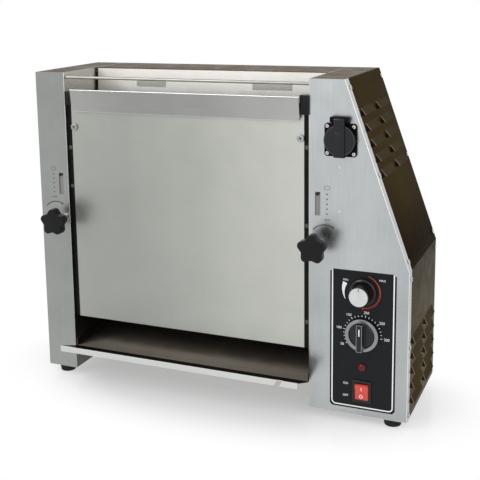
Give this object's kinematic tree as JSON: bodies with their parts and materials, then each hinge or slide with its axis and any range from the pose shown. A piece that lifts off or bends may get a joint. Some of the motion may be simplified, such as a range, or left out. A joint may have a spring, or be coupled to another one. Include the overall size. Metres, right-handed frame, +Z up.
{
  "type": "vertical conveyor toaster",
  "caption": "Countertop vertical toaster: two steel columns, a hot bay between them with a heated plate and swinging belts, star knobs that set the gap, and a tray below.",
  "frame": {"origin": "under the middle of the outer box, on the plane the feet stand on", "axes": "+Z up, -Y towards the operator, +X towards the control column"},
  "size_m": [0.6516, 0.27, 0.539],
  "materials": {
    "brushed_steel": "brushed stainless sheet",
    "dark_side_steel": "polished stainless side sheet",
    "cover_steel": "satin stainless cover",
    "bright_steel": "bright turned steel",
    "zinc_steel": "zinc plated steel",
    "platen_iron": "cast heated plate",
    "element_sheath": "tubular element sheath",
    "release_fabric": "coated glass cloth",
    "belt_mesh": "coated conveyor belt",
    "black_plastic": "matt black moulding",
    "black_gloss": "glossy black moulding",
    "black_rail": "black coated steel",
    "label_black": "printed label",
    "red_lens": "red lens",
    "foot_rubber": "black rubber",
    "socket_grey": "dark socket moulding",
    "bronze_bush": "sintered bronze",
    "chain_steel": "oiled steel",
    "motor_paint": "dark painted gear case",
    "unit_plastic": "control unit case"
  },
  "bodies": {
    "machine": {"left_front_panel": "brushed_steel", "right_front_panel": "brushed_steel", "left_side_panel": "dark_side_steel", "right_side_panel": "dark_side_steel", "left_inner_wall": "brushed_steel", "right_inner_wall": "brushed_steel", "left_top_cap": "dark_side_steel", "right_top_cap": "dark_side_steel", "left_base_plate": "zinc_steel", "right_base_plate": "zinc_steel", "rear_panel": "brushed_steel", "rear_top_plate": "dark_side_steel", "cord_gland": "black_plastic", "feet": "foot_rubber", "front_cover": "cover_steel", "cover_rails": "black_rail", "feed_lip": "brushed_steel", "lip_end_blocks": "black_plastic", "guard_rod": "bright_steel", "rear_guide_plate": "brushed_steel", "platen": "platen_iron", "heating_elements": "element_sheath", "platen_brackets": "zinc_steel", "release_sheet": "release_fabric", "shaft_bushes": "bronze_bush", "drive_chain": "chain_steel", "motor_bracket": "zinc_steel", "gear_motor": "motor_paint", "spindle_nuts": "bronze_bush", "control_label": "label_black", "control_units": "unit_plastic", "indicator_lamp": "red_lens", "rocker_housing": "black_gloss", "socket_body": "socket_grey", "tray_runners": "zinc_steel", "fasteners": "bright_steel"},
    "front_carriage": {"front_belt_frame": "zinc_steel", "front_belt": "belt_mesh"},
    "rear_carriage": {"rear_belt_frame": "zinc_steel", "rear_belt": "belt_mesh"},
    "front_roller": {"front_drive_roller": "bright_steel", "front_sprocket": "chain_steel"},
    "rear_roller": {"rear_drive_roller": "bright_steel", "rear_sprocket": "chain_steel"},
    "front_idler": {"front_idler_roller": "bright_steel"},
    "rear_idler": {"rear_idler_roller": "bright_steel"},
    "motor_wheel": {"motor_sprocket": "chain_steel"},
    "left_yoke_body": {"left_yoke": "zinc_steel"},
    "right_yoke_body": {"right_yoke": "zinc_steel"},
    "left_knob": {"left_spindle": "bright_steel", "left_star_knob": "black_plastic"},
    "right_knob": {"right_spindle": "bright_steel", "right_star_knob": "black_plastic"},
    "left_pointer_body": {"left_pointer": "black_plastic"},
    "right_pointer_body": {"right_pointer": "black_plastic"},
    "speed_dial": {"speed_knob": "black_gloss"},
    "thermostat_dial": {"thermostat_knob": "black_gloss"},
    "rocker": {"rocker_button": "red_lens"},
    "lid": {"socket_lid": "socket_grey"},
    "tray": {"discharge_tray": "brushed_steel"}
  },
  "joints": [
    {"name": "front_gap_swing", "type": "hinge", "parent": "machine", "child": "front_carriage", "pos_m": [0, -0.063, 0.454], "axis": [1, 0, 0], "range_deg": [0, 4.17]},
    {"name": "left_yoke_slide", "type": "slide", "parent": "machine", "child": "left_yoke_body", "axis": [0, 1, 0], "range_m": [0, 0.012]},
    {"name": "left_knob_turn", "type": "hinge", "parent": "left_yoke_body", "child": "left_knob", "pos_m": [-0.2762, -0.085, 0.289], "axis": [0, 1, 0], "range_deg": [0, 720]},
    {"name": "left_pointer_slide", "type": "slide", "parent": "machine", "child": "left_pointer_body", "axis": [0, 0, -1], "range_m": [0, 0.031]},
    {"name": "rear_gap_swing", "type": "hinge", "parent": "machine", "child": "rear_carriage", "pos_m": [0, 0.037, 0.454], "axis": [-1, 0, 0], "range_deg": [0, 4.12]},
    {"name": "right_yoke_slide", "type": "slide", "parent": "machine", "child": "right_yoke_body", "axis": [0, -1, 0], "range_m": [0, 0.012]},
    {"name": "right_knob_turn", "type": "hinge", "parent": "right_yoke_body", "child": "right_knob", "pos_m": [0.1818, -0.085, 0.287], "axis": [0, 1, 0], "range_deg": [0, 720]},
    {"name": "right_pointer_slide", "type": "slide", "parent": "machine", "child": "right_pointer_body", "axis": [0, 0, -1], "range_m": [0, 0.031]},
    {"name": "front_roller_turn", "type": "hinge", "parent": "machine", "child": "front_roller", "pos_m": [0, -0.063, 0.454], "axis": [-1, 0, 0], "continuous": true},
    {"name": "rear_roller_turn", "type": "hinge", "parent": "machine", "child": "rear_roller", "pos_m": [0, 0.037, 0.454], "axis": [1, 0, 0], "continuous": true},
    {"name": "front_idler_turn", "type": "hinge", "parent": "front_carriage", "child": "front_idler", "pos_m": [0, -0.063, 0.126], "axis": [-1, 0, 0], "continuous": true},
    {"name": "rear_idler_turn", "type": "hinge", "parent": "rear_carriage", "child": "rear_idler", "pos_m": [0, 0.037, 0.126], "axis": [1, 0, 0], "continuous": true},
    {"name": "motor_wheel_turn", "type": "hinge", "parent": "machine", "child": "motor_wheel", "pos_m": [0.1728, 0.075, 0.419], "axis": [-1, 0, 0], "continuous": true},
    {"name": "speed_turn", "type": "hinge", "parent": "machine", "child": "speed_dial", "pos_m": [0.2504, -0.0858, 0.2155], "axis": [0, 1, 0], "range_deg": [-135, 135]},
    {"name": "thermostat_turn", "type": "hinge", "parent": "machine", "child": "thermostat_dial", "pos_m": [0.2504, -0.0858, 0.148], "axis": [0, 1, 0], "range_deg": [-135, 105]},
    {"name": "rocker_tilt", "type": "hinge", "parent": "machine", "child": "rocker", "pos_m": [0.2504, -0.0828, 0.0548], "axis": [-1, 0, 0], "range_deg": [0, 14]},
    {"name": "lid_swing", "type": "hinge", "parent": "machine", "child": "lid", "pos_m": [0.2143, -0.0933, 0.479], "axis": [-1, 0, 0], "range_deg": [0, 110], "stiffness_Nm_per_rad": 0.02, "springref_deg": -28.65},
    {"name": "tray_slide", "type": "slide", "parent": "machine", "child": "tray", "axis": [0, -1, 0], "range_m": [0, 0.12]}
  ],
  "couplings": [
    {"joint": "left_yoke_slide", "follows": "front_gap_swing", "m_per_rad": 0.165},
    {"joint": "left_knob_turn", "follows": "front_gap_swing", "ratio": 172.79},
    {"joint": "left_pointer_slide", "follows": "front_gap_swing", "m_per_rad": 0.42625},
    {"joint": "right_yoke_slide", "follows": "rear_gap_swing", "m_per_rad": 0.167},
    {"joint": "right_knob_turn", "follows": "rear_gap_swing", "ratio": 174.88},
    {"joint": "right_pointer_slide", "follows": "rear_gap_swing", "m_per_rad": 0.43142},
    {"joint": "rear_roller_turn", "follows": "front_roller_turn", "ratio": 1},
    {"joint": "front_idler_turn", "follows": "front_roller_turn", "ratio": 1},
    {"joint": "rear_idler_turn", "follows": "front_roller_turn", "ratio": 1},
    {"joint": "motor_wheel_turn", "follows": "front_roller_turn", "ratio": 1}
  ]
}
